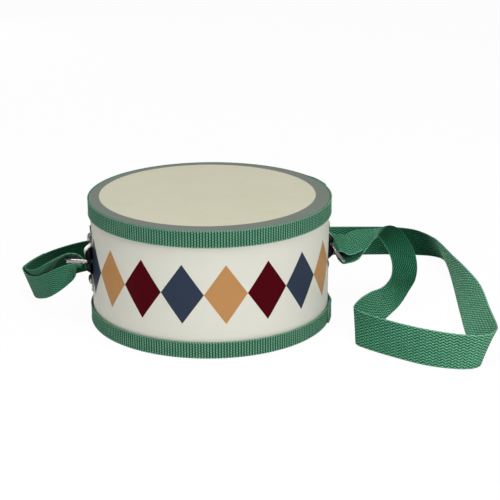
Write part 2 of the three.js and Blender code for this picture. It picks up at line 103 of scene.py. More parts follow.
# Bracket and ring sizes, in millimetres
BRACKET_HEIGHT = 55.5
RIGHT_BRACKET_DEG = 9.0
LEFT_BRACKET_DEG = RIGHT_BRACKET_DEG - 180.0
PLATE_SEAT = 100.2
PLATE_THICKNESS = 1.0
PLATE_LENGTH = 58.0
PLATE_WIDTH = 13.0
PLATE_LANES = 13
PLATE_CROWN = 0.35
PLATE_FACE_DROP = 0.3
PLATE_RIM_DROP = 0.3
PLATE_RIM_START = 0.85
PLATE_BACK_SHARE = 0.97
LEAF_LEVELS = 22
LEAF_NARROWING = 1.4
LEAF_SIDE_POWER = 1.6
LEAF_TIP_POWER = 2.2
LEAF_TIP_TAPER = 0.35
LEAF_TIP_HALF_WIDTH = 0.05
BRIDGE_LENGTH = 25.0
BRIDGE_LEVELS = 49
BRIDGE_RAMP = 6.2
BRIDGE_ROUNDNESS = 1.3
CHEEK_INSET = 0.35
CHEEK_THICKNESS = 0.6
CHEEK_START = 0.5
CHEEK_LAP = PLATE_THICKNESS / 3
CHEEK_LEVELS = 18
SLOT_GAP = 0.4
BRIDGE_RISE = 5.2
RIVET_SPACING = 36.0
RIVET_HEAD_RADIUS = 4.4
RIVET_HEAD_HEIGHT = 2.3
RIVET_RIM = 0.35
RIVET_SEAT_GAP = 0.15
RIVET_SHANK_RADIUS = 1.5
RIVET_SEGMENTS = 40
RIVET_DOME_STEPS = 12
RIVET_TAIL_PROFILE = [(1.2, 92.1), (2.4, 92.1), (2.6, 92.3), (2.6, 93.2), (1.5, 93.2)]
HINGE_RADIUS = 103.6
RING_WIRE_RADIUS = 1.5
RING_WIDTH = 33.4
RING_REACH = 17.0
RING_CORNER = 3.5
RING_CORNER_STEPS = 12
RING_WIRE_SIDES = 20
LEFT_REST = (53.0, 20.0, 6.0)
RIGHT_REST = (60.0, 13.0, -52.0)

# Strap sizes, in millimetres
STRAP_WIDTH = 29.5
STRAP_THICKNESS = 1.3
WEAVE_LINE = 2.35
WEAVE_WAVE = 5.2
WEAVE_SWING = 0.85
WEAVE_DEPTH = 0.16
WEAVE_BEAT = 0.3
WEAVE_STEP = 0.74
WEAVE_LANES = 45
LANE_CROWDING = 0.62
SELVEDGE = 0.9
SELVEDGE_ROUNDING = 0.75
SELVEDGE_THINNEST = 0.02
STITCH_LENGTH = 2.3
STITCH_PITCH = 3.1
STITCH_COUNT = 9
STITCH_RADIUS = 0.3
STITCH_TAPER = 0.4
STITCH_SECTIONS = 7
STITCH_SIDES = 6
STITCH_RISE = 0.25
STITCH_MARK = 10
LEFT_SEAM = 5.0
RIGHT_SEAM = 1.8

# The unit of the strips' UV layers, in millimetres
CM = 10.0


def colour(red, green, blue):
    """A display colour, 0 to 255, as linear values with full alpha."""
    values = []
    for value in (red, green, blue):
        share = value / 255
        values.append(share / 12.92 if share <= 0.04045 else ((share + 0.055) / 1.055) ** 2.4)
    return (*values, 1.0)


# Strap route: each station is one edge of the webbing and then the other, in millimetres
LEFT_TAIL = [
    ((-146.3, 77.5, 0.7), (-149.8, 76, 28.9)),
    ((-151.6, 66.2, 0.8), (-156.7, 63.3, 28.7)),
    ((-155.4, 56, 0.7), (-162, 52, 28)),
    ((-157, 48, 0.7), (-165, 42, 27)),
    ((-154.8, 40, 0.9), (-161, 30, 26.5)),
    ((-151.5, 32, 2.1), (-155, 18.5, 28)),
    ((-146.3, 19.4, 6), (-147.1, 5.4, 32)),
    ((-140.8, 6.7, 10.7), (-139.8, -5.6, 37.5)),
    ((-134.8, -3.8, 16.2), (-132.6, -15.4, 43.3)),
    ((-127.8, -10.5, 22.7), (-125.2, -23, 48.6)),
    ((-120.4, -12.8, 29.6), (-118, -28.6, 52.4)),
    ((-114.2, -10, 36), (-112.5, -30, 53.6)),
]
LEFT_LOOP = [
    (8.5, -5.2, -2.6), (5.5, -4.8, -1.8), (4.8, -2.4, 0.6), (6.4, 1, 3.2), (10.5, 3.4, 5.4), (15, 4, 5.8),
    (18.5, 3.6, 5.2),
]
LEFT_PLY = [
    ((-126, -1, 49.4), (-122.2, -28.6, 60.6)),
    ((-131.3, 2, 43.2), (-127.6, -23.5, 56.6)),
    ((-136, 5, 35.2), (-133.1, -17.5, 52)),
    ((-140.3, 9.5, 26.5), (-139.6, -8.5, 45.6)),
    ((-144.5, 17.5, 18.3), (-146.4, 1.5, 39.2)),
    ((-148.8, 27, 11.2), (-153.2, 13.6, 34)),
    ((-152.4, 37, 5.8), (-159, 26.5, 30.8)),
    ((-153.8, 46, 2.8), (-162.4, 38.6, 29.4)),
    ((-152.8, 55, 1.5), (-160.2, 50.5, 29)),
    ((-149.5, 65.5, 1.3), (-154.6, 62.5, 30)),
]
MAIN = [
    ((-144.5, 76.5, 0.8), (-148, 75, 29.9)),
    ((-136, 90, 0.4), (-138.4, 88.5, 29.6)),
    ((-120, 106, 0), (-121, 105.5, 29.4)),
    ((-88, 125, 0), (-88, 125, 29.5)),
    ((-45, 139, 0), (-45, 139, 29.5)),
    ((0, 144, 0), (0, 144, 29.5)),
    ((50, 147, 0), (50, 146, 29.5)),
    ((100, 148, 0), (98, 146, 29.4)),
    ((145, 148, 0), (142, 145.5, 29.2)),
    ((178, 147.5, 0), (172, 145, 28.6)),
    ((201, 144.5, 0), (191, 142, 27.8)),
    ((214, 140, 0), (202.3, 133.5, 26.4)),
    ((222.3, 129.5, 0), (208.8, 123, 25.6)),
    ((222.8, 105.6, 0), (211.7, 105.6, 27.5)),
    ((219.6, 59.8, 0), (217.5, 59.8, 29.4)),
    ((216.5, 25, 0), (224.3, 25, 28.5)),
    ((213.7, -7.9, 0), (231, -7.9, 23.8)),
    ((210.2, -55.3, 0), (229.5, -55.3, 22.3)),
    ((210, -95, 0), (227.5, -95, 23.8)),
    ((211.5, -115, 0), (222, -116, 27.5)),
    ((206.5, -125.5, 0), (211.5, -128, 28.9)),
    ((192, -127.5, 0), (193, -128, 29.5)),
    ((168, -119.5, 0), (168, -116.5, 29.3)),
    ((144, -102, 0), (143, -98.5, 29.3)),
    ((124.5, -84.5, 0), (123.5, -79, 29)),
    ((117.8, -75.5, 0), (117.2, -68.5, 28.7)),
    ((120.5, -66.5, 0), (117, -60, 28.6)),
    ((131, -48.5, 0), (124.8, -42, 28)),
    ((143, -31, 1), (133.5, -31, 28.9)),
    ((153, -16.5, 3), (141, -24, 28.8)),
    ((162, -7, 8), (147, -18.5, 30)),
    ((171, 3, 17), (152, -12, 33.6)),
    ((176.6, 7.6, 25), (154.2, -6.5, 38)),
    ((178.9, 14.5, 34), (154.7, 0.9, 43.8)),
    ((177.8, 22.7, 44), (153.1, 7.5, 49.2)),
    ((173.5, 31.9, 52.4), (150.1, 14, 53.8)),
    ((167.1, 39.8, 59.6), (147.4, 18, 57.5)),
]
RIGHT_PLY = [
    ((159.1, 47, 61.6), (145.4, 21, 59.9)),
    ((147.3, 51, 57.6), (142.9, 22.5, 58.7)),
    ((135.7, 50, 57.4), (139.8, 22, 55.5)),
    ((125.5, 46, 57.2), (136.5, 20, 51)),
    ((117.3, 41.1, 53.6), (132.3, 17, 46.7)),
    ((115.2, 38, 47.4), (126.2, 11.6, 42)),
]
RIGHT_LOOP = [
    (20.3, -1.4, -1.4), (16.8, -2.9, -2.9), (12.2, -2.9, -2.9), (9.2, -1.8, -1.8), (7, 0.6, 0.6),
    (7.3, 2.9, 2.9), (10.6, 4.6, 4.5),
]
RIGHT_TAIL = [
    ((109.3, 33.7, 58.5), (121.4, 8.0, 47.8)),
    ((116.3, 40.2, 56.1), (132.1, 16, 49.8)),
]

# Where the rings' bars were as the stations were drawn, and how near to a bar stations move with it
LEFT_ROUTE_BAR = (-102.3, -16.2, 51)
RIGHT_ROUTE_BAR = (102.3, 16.2, 60)
FOLLOW_NEAR = 30
FOLLOW_FAR = 90


def ring_frame(deg, rest):
    """The ring's own frame: X along the ring from its bar, Y along the bar, Z above its plane."""
    height, slant, lift = rest
    turn = Matrix.Rotation(math.radians(deg), 4, "Z")
    place = Matrix.Translation((HINGE_RADIUS, 0, height))
    tip = Matrix.Rotation(math.radians(slant), 4, "X")
    raised = Matrix.Rotation(-math.radians(lift), 4, "Y")
    return turn @ place @ tip @ raised


def loop_stations(loop, deg, rest, back_side):
    """Stations of the webbing through a ring, back edge first."""
    at_ring = ring_frame(deg, rest)
    reach = back_side * STRAP_WIDTH / 2
    stations = []
    for along, back, front in loop:
        back_edge = at_ring @ Vector((along, reach, back))
        front_edge = at_ring @ Vector((along, -reach, front))
        stations.append((tuple(back_edge), tuple(front_edge)))
    return stations


def follow_ring(stations, drawn_bar, deg, rest):
    """Stations drawn beside a ring, moved with its bar."""
    drawn = Vector(drawn_bar)
    shift = ring_frame(deg, rest).translation - drawn
    moved = []
    for first, second in stations:
        away = ((Vector(first) + Vector(second)) / 2 - drawn).length
        near = 1 - min(max((away - FOLLOW_NEAR) / (FOLLOW_FAR - FOLLOW_NEAR), 0), 1)
        share = near * near * (3 - 2 * near)
        moved.append((tuple(Vector(first) + shift * share), tuple(Vector(second) + shift * share)))
    return moved


# Meshes


def piece(name, points, faces, body, nodes=(), uv=None):
    """A mesh object from points in millimetres, riding a body if one is named and standing for CAD nodes."""
    mesh = bpy.data.meshes.new(name)
    mesh.from_pydata((np.asarray(points, float) * MM).tolist(), [], faces)
    mesh.validate()
    mesh.polygons.foreach_set("use_smooth", [True] * len(mesh.polygons))
    if uv is not None:
        layer = mesh.uv_layers.new(name="run")
        corner = np.empty(len(mesh.loops), int)
        mesh.loops.foreach_get("vertex_index", corner)
        layer.uv.foreach_set("vector", np.asarray(uv, np.float32)[corner].ravel())
    made = bpy.data.objects.new(name, mesh)
    bpy.context.scene.collection.objects.link(made)
    if body:
        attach(made, body)
    if nodes:
        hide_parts(*nodes)
    return made


def grid_faces(rows, sides, closed_rows=False, flipped=False):
    """Quads over rows of closed loops, with a face at each end unless the rows close on themselves."""
    faces = []
    last = rows if closed_rows else rows - 1
    for row in range(last):
        here = row * sides
        there = ((row + 1) % rows) * sides
        for side in range(sides):
            beside = (side + 1) % sides
            faces.append((here + side, here + beside, there + beside, there + side))
    if not closed_rows:
        faces.append(tuple(reversed(range(sides))))
        end = (rows - 1) * sides
        faces.append(tuple(range(end, end + sides)))
    return [tuple(reversed(face)) for face in faces] if flipped else faces


def turned_points(profile, segments):
    """Rings of points for a profile of (radius, height) turned about +Z."""
    angles = np.arange(segments) * 2 * math.pi / segments
    around = np.stack([np.cos(angles), np.sin(angles)], axis=-1)
    rings = [
        np.column_stack([around * radius, np.full(segments, height)])
        for radius, height in profile
    ]
    return np.vstack(rings)


# Strap


def spline(stations, at):
    """Points of a cardinal spline with tension one half, at station numbers that may be fractional."""
    points = np.asarray(stations, float)
    first = 2 * points[0] - points[1]
    last = 2 * points[-1] - points[-2]
    padded = np.vstack([first, points, last])
    cell = np.clip(np.floor(at).astype(int), 0, len(points) - 2)
    share = (at - cell)[:, None]
    before, start, end, after = (padded[cell + step] for step in range(4))
    slope_start = (end - before) / 2
    slope_end = (after - start) / 2
    square = share**2
    cube = share**3
    return (
        (2 * start - 2 * end + slope_start + slope_end) * cube
        + (-3 * start + 3 * end - 2 * slope_start - slope_end) * square
        + slope_start * share
        + start
    )


AT_LEFT = (LEFT_ROUTE_BAR, LEFT_BRACKET_DEG, LEFT_REST)
AT_RIGHT = (RIGHT_ROUTE_BAR, RIGHT_BRACKET_DEG, RIGHT_REST)
left_end = [
    *follow_ring(LEFT_TAIL, *AT_LEFT),
    *loop_stations(LEFT_LOOP, LEFT_BRACKET_DEG, LEFT_REST, -1),
    *follow_ring(LEFT_PLY, *AT_LEFT),
]
right_end = [
    *follow_ring(RIGHT_PLY, *AT_RIGHT),
    *loop_stations(RIGHT_LOOP, RIGHT_BRACKET_DEG, RIGHT_REST, 1),
    *follow_ring(RIGHT_TAIL, *AT_RIGHT),
]
route = [*left_end, *follow_ring(MAIN, *AT_RIGHT), *right_end]
FINE = 60
TANGENT_STEP = 0.02


def edges_at(at):
    """Both edges of the webbing at station numbers."""
    inside = np.clip(at, 0, len(route) - 1)
    first = spline([station[0] for station in route], inside)
    second = spline([station[1] for station in route], inside)
    return first, second


def centre_at(at):
    """The webbing's centre line at station numbers."""
    first, second = edges_at(at)
    return (first + second) / 2


fine_at = np.linspace(0, len(route) - 1, (len(route) - 1) * FINE + 1)
run = np.concatenate([[0], np.cumsum(np.linalg.norm(np.diff(centre_at(fine_at), axis=0), axis=1))])
STRAP_LENGTH = float(run[-1])


def run_at(station):
    """The distance along the strap to a station number, which may be fractional."""
    return float(run[round(station * FINE)])


def strap_frames(distances):
    """Centre, across and outward directions of the webbing at distances along it."""
    at = np.interp(distances, run, fine_at)
    low, high = edges_at(at)
    centre = (low + high) / 2
    across = high - low
    across /= np.linalg.norm(across, axis=1)[:, None]
    along = centre_at(at + TANGENT_STEP) - centre_at(at - TANGENT_STEP)
    along /= np.linalg.norm(along, axis=1)[:, None]
    outward = np.cross(along, across)
    outward /= np.linalg.norm(outward, axis=1)[:, None]
    half = STRAP_WIDTH / 2
    thick = STRAP_THICKNESS / 2
    low_edge = centre[:, 2] - np.abs(across[:, 2]) * half - np.abs(outward[:, 2]) * thick
    centre[:, 2] += np.maximum(0, -low_edge)
    return centre, across, outward


def weave_height(distance, place, face):
    """Height of the herringbone threads: lines along the strap that swing from side to side."""
    phase = distance / WEAVE_WAVE + (0.5 if face < 0 else 0.0)
    swing = WEAVE_SWING * (4 * np.abs(phase - np.floor(phase + 0.5)) - 1)
    line = np.cos(2 * np.pi * (place - swing) / WEAVE_LINE)
    beat = 1 - WEAVE_BEAT + WEAVE_BEAT * np.cos(4 * np.pi * phase)
    return WEAVE_DEPTH * line * beat


def stitch_row(distance, face, first):
    """Points and faces of a row of stitches across one face of the webbing, numbered from first."""
    centre, across, outward = (value[0] for value in strap_frames(np.array([distance])))
    upward = outward * face
    aside = np.cross(across, upward)
    points = []
    faces = []
    for index in range(STITCH_COUNT):
        middle = (index - (STITCH_COUNT - 1) / 2) * STITCH_PITCH
        base = first + len(points)
        for share in np.linspace(0, 1, STITCH_SECTIONS):
            arch = math.sin(math.pi * share)
            place = middle + (share - 0.5) * STITCH_LENGTH
            rise = STRAP_THICKNESS / 2 - STITCH_RADIUS + STITCH_RISE * (1 + arch)
            radius = STITCH_RADIUS * (1 - STITCH_TAPER + STITCH_TAPER * arch)
            core = centre + across * place + upward * rise
            for turn in np.arange(STITCH_SIDES) * 2 * math.pi / STITCH_SIDES:
                points.append(core + upward * radius * math.cos(turn) + aside * radius * math.sin(turn))
        quads = grid_faces(STITCH_SECTIONS, STITCH_SIDES)
        faces += [tuple(base + corner for corner in quad) for quad in quads]
    return points, faces


def webbing(name, start, end, nodes, body=None, seam=None):
    """A length of the strap as a closed mesh with woven faces, rounded selvedges and any stitched seam."""
    count = max(2, int(round((end - start) / WEAVE_STEP)) + 1)
    distances = np.linspace(start, end, count)
    centre, across, outward = strap_frames(distances)
    half = STRAP_WIDTH / 2
    spread = math.pi / 2 * LANE_CROWDING
    place = half * np.sin(np.linspace(-1, 1, WEAVE_LANES) * spread) / math.sin(spread)
    depth = np.clip((np.abs(place) - (half - SELVEDGE_ROUNDING)) / SELVEDGE_ROUNDING, 0, 1)
    core = (STRAP_THICKNESS / 2 - WEAVE_DEPTH) * np.sqrt(np.clip(1 - depth**2, SELVEDGE_THINNEST, 1))
    fade = np.clip((half - np.abs(place)) / SELVEDGE, 0, 1)
    sheets = []
    lanes = []
    for face in (1, -1):
        lane = place[::face]
        relief = weave_height(distances[:, None], lane[None, :], face) * fade[::face][None, :]
        lift = face * (core[::face][None, :] + relief)
        sheets.append(
            centre[:, None, :]
            + across[:, None, :] * lane[None, :, None]
            + outward[:, None, :] * lift[:, :, None]
        )
        lanes.append(lane)
    points = np.concatenate(sheets, axis=1)
    faces = grid_faces(count, points.shape[1], flipped=True)
    strip = np.broadcast_arrays(distances[:, None] / CM, np.concatenate(lanes)[None, :] / CM)
    uv = np.stack(strip, axis=-1).reshape(-1, 2)
    points = points.reshape(-1, 3)
    if seam:
        stitches, stitch_faces = stitch_row(*seam, len(points))
        points = np.vstack([points, stitches])
        uv = np.vstack([uv, np.full((len(stitches), 2), STITCH_MARK)])
        faces += stitch_faces
    return piece(name, points, faces, body, nodes, uv=uv)


left_joint = run_at(len(left_end))
right_joint = run_at(len(left_end) + len(MAIN))
strap_middle = webbing("strap_middle", left_joint, right_joint, (
    "strap_back_left", "strap_back_right", "strap_side", "strap_front", "strap_arch",
), DRUM)
strap_left = webbing("strap_left_loop", 0, left_joint, ("strap_left_end",), seam=(LEFT_SEAM, 1))
strap_right = webbing(
    "strap_right_loop", right_joint, STRAP_LENGTH, ("strap_right_end",),
    seam=(STRAP_LENGTH - RIGHT_SEAM, -1),
)


# Camera, set from the photograph's own geometry, in metres

CAMERA_PLACE = (0, -1.12069, 0.43780)
CAMERA_AIM = (0.02838, 0.94626, -0.32217)
camera_data = bpy.data.cameras.new("camera")
camera_data.sensor_width = 36.0
camera_data.lens = 100.53
camera_data.clip_start = 0.05
camera = bpy.data.objects.new("camera", camera_data)
bpy.context.scene.collection.objects.link(camera)
camera.location = CAMERA_PLACE
camera.rotation_euler = Vector(CAMERA_AIM).to_track_quat("-Z", "Y").to_euler()
bpy.context.scene.camera = camera


# Shell print, heads and trims


def sleeve():
    """The printed wrap round the shell; its overlap joint at the back is drawn as a fine gap."""
    seam = math.radians(SLEEVE_SEAM_DEG)
    gap = SLEEVE_SEAM_GAP / SLEEVE_RADIUS
    inner = SLEEVE_RADIUS - SLEEVE_THICKNESS
    levels = np.linspace(SLEEVE_BOTTOM, SLEEVE_TOP, SLEEVE_LEVELS)
    profile = [(SLEEVE_RADIUS, level) for level in levels] + [(inner, level) for level in levels[::-1]]
    points = []
    for angle in np.linspace(seam + gap, seam + 2 * math.pi - gap, SLEEVE_COLUMNS):
        points += [(r * math.cos(angle), r * math.sin(angle), z) for r, z in profile]
    faces = grid_faces(SLEEVE_COLUMNS, len(profile), flipped=True)
    return piece("diamond_sleeve", points, faces, DRUM, ("printed_sleeve",))


def head(name, node, level, inwards):
    """A drum film with a rolled edge and a skirt under the trim."""
    profile = [(radius, 0.0) for radius in HEAD_RINGS]
    for step in range(HEAD_EDGE_STEPS + 1):
        angle = math.pi / 2 * step / HEAD_EDGE_STEPS
        radius = HEAD_RADIUS - HEAD_EDGE + HEAD_EDGE * math.sin(angle)
        profile.append((radius, HEAD_EDGE * (1 - math.cos(angle))))
    inner = HEAD_RADIUS - SKIRT_THICKNESS
    profile.append((HEAD_RADIUS, SKIRT_DROP))
    profile.append((inner, SKIRT_DROP))
    profile.append((inner, HEAD_THICKNESS + HEAD_EDGE))
    profile.append((inner - HEAD_EDGE, HEAD_THICKNESS))
    profile.append((HEAD_RINGS[0], HEAD_THICKNESS))
    points = turned_points([(r, level + inwards * z) for r, z in profile], HEAD_SEGMENTS)
    faces = grid_faces(len(profile), HEAD_SEGMENTS, flipped=inwards < 0)
    return piece(name, points, faces, DRUM, (node,))


def trim(name, node, end_deg, bottom):
    """Ribbed webbing round a rim. Its outer end laps over its inner end."""
    start = end_deg - 360
    finish = end_deg + TRIM_LAP_DEG - TRIM_END_GAP_DEG
    length = math.radians(finish - start) * (TRIM_INNER + TRIM_THICKNESS)
    columns = int(length / RIB_PITCH * RIB_COLUMNS)
    degrees = np.linspace(start, finish, columns)
    along = np.clip((degrees - start - TRIM_LAP_DEG) / TRIM_RAMP_DEG, 0, 1)
    rise = TRIM_LIFT * (1 - along**2 * (3 - 2 * along))
    arc = np.radians(degrees - start) * (TRIM_INNER + TRIM_THICKNESS)
    ribs = np.abs(np.cos(math.pi * arc / RIB_PITCH)) ** RIB_FULLNESS
    heights = np.concatenate([
        TRIM_EDGE_LEVELS,
        np.linspace(TRIM_FLAT_START, TRIM_WIDTH - TRIM_FLAT_START, TRIM_FLAT_LEVELS),
        [TRIM_WIDTH - level for level in reversed(TRIM_EDGE_LEVELS)],
    ])
    inside = np.clip(np.minimum(heights, TRIM_WIDTH - heights) / TRIM_ROUNDING, 0, 1)
    rounding = np.sqrt(np.clip(1 - (1 - inside) ** 2, 0, 1))
    points = []
    uv = []
    for column, deg in enumerate(degrees):
        angle = math.radians(deg)
        cos, sin = math.cos(angle), math.sin(angle)
        base = TRIM_INNER + rise[column]
        for full, z in zip(rounding, heights):
            face = TRIM_THICKNESS * (TRIM_EDGE_SHARE + (1 - TRIM_EDGE_SHARE) * full)
            weft = WEFT_HEIGHT * math.sin(2 * math.pi * (z / WEFT_PITCH + column / WEFT_COLUMNS))
            groove = RIB_DEPTH * (1 - ribs[column]) * full
            radius = base + face - groove + weft * full
            points.append((radius * cos, radius * sin, bottom + z))
        for z in (TRIM_WIDTH, 0.0):
            points.append((base * cos, base * sin, bottom + z))
        uv += [(arc[column] / CM, z / CM) for z in (*heights, TRIM_WIDTH, 0.0)]
    faces = grid_faces(columns, len(heights) + 2, flipped=True)
    made = piece(name, points, faces, DRUM, (node,), uv=uv)
    threads = [
        edge_thread(f"{name}_{place}_thread", degrees, rise, bottom + z) for place, z in EDGE_THREAD_PLACES
    ]
    return made, threads


def edge_thread(name, degrees, rise, level):
    """The pale overlocked thread along one edge of a trim."""
    columns = range(0, len(degrees), EDGE_THREAD_COLUMNS)
    points = []
    for column in columns:
        angle = math.radians(degrees[column])
        arc = angle * TRIM_INNER
        swell = 1 - EDGE_THREAD_SWELL + EDGE_THREAD_SWELL * math.cos(2 * math.pi * arc / (RIB_PITCH / 2))
        sway = EDGE_THREAD_SWAY * math.sin(2 * math.pi * arc / RIB_PITCH)
        middle = TRIM_INNER + rise[column] + TRIM_THICKNESS - EDGE_THREAD_DEPTH
        for side in range(EDGE_THREAD_SIDES):
            turn = 2 * math.pi * side / EDGE_THREAD_SIDES
            radius = middle + EDGE_THREAD * swell * math.cos(turn)
            z = level + sway + EDGE_THREAD * swell * math.sin(turn)
            points.append((radius * math.cos(angle), radius * math.sin(angle), z))
    faces = grid_faces(len(columns), EDGE_THREAD_SIDES, flipped=True)
    return piece(name, points, faces, DRUM)


sleeve_piece = sleeve()
top_film = head("playing_film", "top_head", DRUM_HEIGHT, -1)
bottom_film = head("base_film", "bottom_head", 0.0, 1)
upper_trim, upper_threads = trim(
    "upper_trim", "top_trim", TOP_TRIM_END_DEG, DRUM_HEIGHT - TRIM_SETBACK - TRIM_WIDTH,
)
lower_trim, lower_threads = trim("lower_trim", "bottom_trim", BOTTOM_TRIM_END_DEG, TRIM_SETBACK)


# Brackets and rings


def placed(points, matrix):
    """Points moved by a matrix."""
    array = np.asarray(points, float)
    return array @ np.array(matrix.to_3x3()).T + np.array(matrix.translation)


def plate_rise(z):
    """How far the plate stands off its seat at a height from its middle."""
    inside = (BRIDGE_LENGTH / 2 - abs(z)) / BRIDGE_RAMP
    share = min(max(inside, 0), 1)
    return BRIDGE_RISE * math.sin(math.pi / 2 * share) ** BRIDGE_ROUNDNESS


def leaf_half_width(z):
    """Half the width of the leaf-shaped plate at a height from its middle."""
    half = PLATE_LENGTH / 2
    lobe = RIVET_SPACING / 2
    away = abs(z)
    if away <= lobe:
        return PLATE_WIDTH / 2 - LEAF_NARROWING * (away / lobe) ** LEAF_SIDE_POWER
    share = (away - lobe) / (half - lobe)
    at_lobe = PLATE_WIDTH / 2 - LEAF_NARROWING
    rounded = math.sqrt(max(1 - share**LEAF_TIP_POWER, 0))
    return max(at_lobe * rounded * (1 - LEAF_TIP_TAPER * share), LEAF_TIP_HALF_WIDTH)


def cheeks(rest, first):
    """Points and faces of the bridge's pressed sides, slotted for the ring's bar, numbered from first."""
    height, slant, _ = rest
    lean = math.radians(slant)
    slot = RING_WIRE_RADIUS / math.cos(lean) + SLOT_GAP
    reach = BRIDGE_LENGTH / 2 - CHEEK_START
    points = []
    faces = []
    for edge in (-1, 1):
        bar = height - BRACKET_HEIGHT + edge * leaf_half_width(0) * math.tan(lean)
        for low, high in ((-reach, bar - slot), (bar + slot, reach)):
            base = first + len(points)
            for z in np.linspace(low, high, CHEEK_LEVELS):
                outer = leaf_half_width(z) - CHEEK_INSET
                low_y, high_y = sorted((edge * outer, edge * (outer - CHEEK_THICKNESS)))
                top = PLATE_SEAT + plate_rise(z) + CHEEK_LAP
                points += [(top, low_y, z), (top, high_y, z), (PLATE_SEAT, high_y, z), (PLATE_SEAT, low_y, z)]
            faces += [tuple(base + corner for corner in face) for face in grid_faces(CHEEK_LEVELS, 4)]
    return points, faces


def plate(side, deg, rest):
    """Plated leaf with softly rounded edges and a pressed bridge."""
    matrix = Matrix.Rotation(math.radians(deg), 4, "Z") @ Matrix.Translation((0, 0, BRACKET_HEIGHT))
    tip = PLATE_LENGTH / 2
    ramp = BRIDGE_LENGTH / 2
    levels = np.concatenate([
        np.linspace(-tip, -ramp, LEAF_LEVELS)[:-1],
        np.linspace(-ramp, ramp, BRIDGE_LEVELS)[:-1],
        np.linspace(ramp, tip, LEAF_LEVELS),
    ])
    lanes = np.sin(np.linspace(-1, 1, PLATE_LANES) * math.pi / 2)
    points = []
    for z in levels:
        half = leaf_half_width(z)
        back = PLATE_SEAT + plate_rise(z)
        face = back + PLATE_THICKNESS - PLATE_FACE_DROP
        for lane in lanes:
            crown = PLATE_CROWN * (1 - lane**2)
            rim = PLATE_RIM_DROP * max(abs(lane) - PLATE_RIM_START, 0) / (1 - PLATE_RIM_START)
            points.append((face + crown - rim, lane * half, z))
        for lane in lanes[::-1]:
            points.append((back, lane * half * PLATE_BACK_SHARE, z))
    faces = grid_faces(len(levels), len(lanes) * 2)
    cheek_points, cheek_faces = cheeks(rest, len(points))
    points = placed(points + cheek_points, matrix)
    return piece(f"{side}_leaf_plate", points, faces + cheek_faces, DRUM, (f"{side}_plate",))


def rivet(side, end, deg, offset):
    """Domed rivet head on its plate, with shank and set tail inside the shell."""
    seat = PLATE_SEAT + PLATE_THICKNESS + RIVET_SEAT_GAP
    dome_base = seat + RIVET_RIM
    dome_height = RIVET_HEAD_HEIGHT - RIVET_RIM
    profile = [*RIVET_TAIL_PROFILE, (RIVET_SHANK_RADIUS, seat), (RIVET_HEAD_RADIUS, seat)]
    for step in range(RIVET_DOME_STEPS):
        angle = math.pi / 2 * step / RIVET_DOME_STEPS
        profile.append((RIVET_HEAD_RADIUS * math.cos(angle), dome_base + dome_height * math.sin(angle)))
    matrix = (
        Matrix.Rotation(math.radians(deg), 4, "Z")
        @ Matrix.Translation((0, 0, BRACKET_HEIGHT + offset))
        @ Matrix.Rotation(math.pi / 2, 4, "Y")
    )
    points = placed(turned_points(profile, RIVET_SEGMENTS), matrix)
    faces = grid_faces(len(profile), RIVET_SEGMENTS)
    return piece(f"{side}_{end}_dome", points, faces, DRUM, (f"{side}_{end}_rivet",))


def wire_ring(name, node, deg, rest, body):
    """Bent wire ring with round corners; the brazed joint in its hinge bar is not drawn."""
    far = RING_REACH - RING_CORNER
    beside = RING_WIDTH / 2 - RING_CORNER
    corners = [(far, -beside, -90), (far, beside, 0), (RING_CORNER, beside, 90), (RING_CORNER, -beside, 180)]
    points = []
    for x, y, begin in corners:
        for step in range(RING_CORNER_STEPS + 1):
            angle = math.radians(begin + 90 * step / RING_CORNER_STEPS)
            out_x, out_y = math.cos(angle), math.sin(angle)
            for side in range(RING_WIRE_SIDES):
                turn = 2 * math.pi * side / RING_WIRE_SIDES
                reach = RING_CORNER + RING_WIRE_RADIUS * math.cos(turn)
                points.append((x + out_x * reach, y + out_y * reach, RING_WIRE_RADIUS * math.sin(turn)))
    rows = len(corners) * (RING_CORNER_STEPS + 1)
    faces = grid_faces(rows, RING_WIRE_SIDES, closed_rows=True, flipped=True)
    return piece(name, placed(points, ring_frame(deg, rest)), faces, body, (node,))


hardware = []
for side, deg, rest, body in (
    ("left", LEFT_BRACKET_DEG, LEFT_REST, LEFT_RING),
    ("right", RIGHT_BRACKET_DEG, RIGHT_REST, RIGHT_RING),
):
    hardware.append(plate(side, deg, rest))
    for end, offset in (("upper", RIVET_SPACING / 2), ("lower", -RIVET_SPACING / 2)):
        hardware.append(rivet(side, end, deg, offset))
    hardware.append(wire_ring(f"{side}_wire_ring", f"{side}_ring", deg, rest, body))


# Materials


class Signal:
    """A shader value that takes part in Python expressions."""

    def __init__(self, finish, socket):
        self.finish = finish
        self.socket = socket

    def math(self, operation, *others):
        return self.finish.node("ShaderNodeMath", {"operation": operation}, self, *others)

    def flipped(self, operation, other):
        return self.finish.node("ShaderNodeMath", {"operation": operation}, other, self)

    def __add__(self, other):
        return self.math("ADD", other)

    __radd__ = __add__

    def __sub__(self, other):
        return self.math("SUBTRACT", other)

    def __rsub__(self, other):
        return self.flipped("SUBTRACT", other)

    def __mul__(self, other):
        return self.math("MULTIPLY", other)

    __rmul__ = __mul__

    def __truediv__(self, other):
        return self.math("DIVIDE", other)

    def __gt__(self, other):
        return self.math("GREATER_THAN", other)

    def __lt__(self, other):
        return self.math("LESS_THAN", other)

    def __abs__(self):
        return self.math("ABSOLUTE")

    def fract(self):
        return self.math("FRACT")

    def floor(self):
        return self.math("FLOOR")

    def clamp(self):
        return self.finish.node("ShaderNodeClamp", {}, self, 0.0, 1.0)

    def cosine(self):
        return self.math("COSINE")


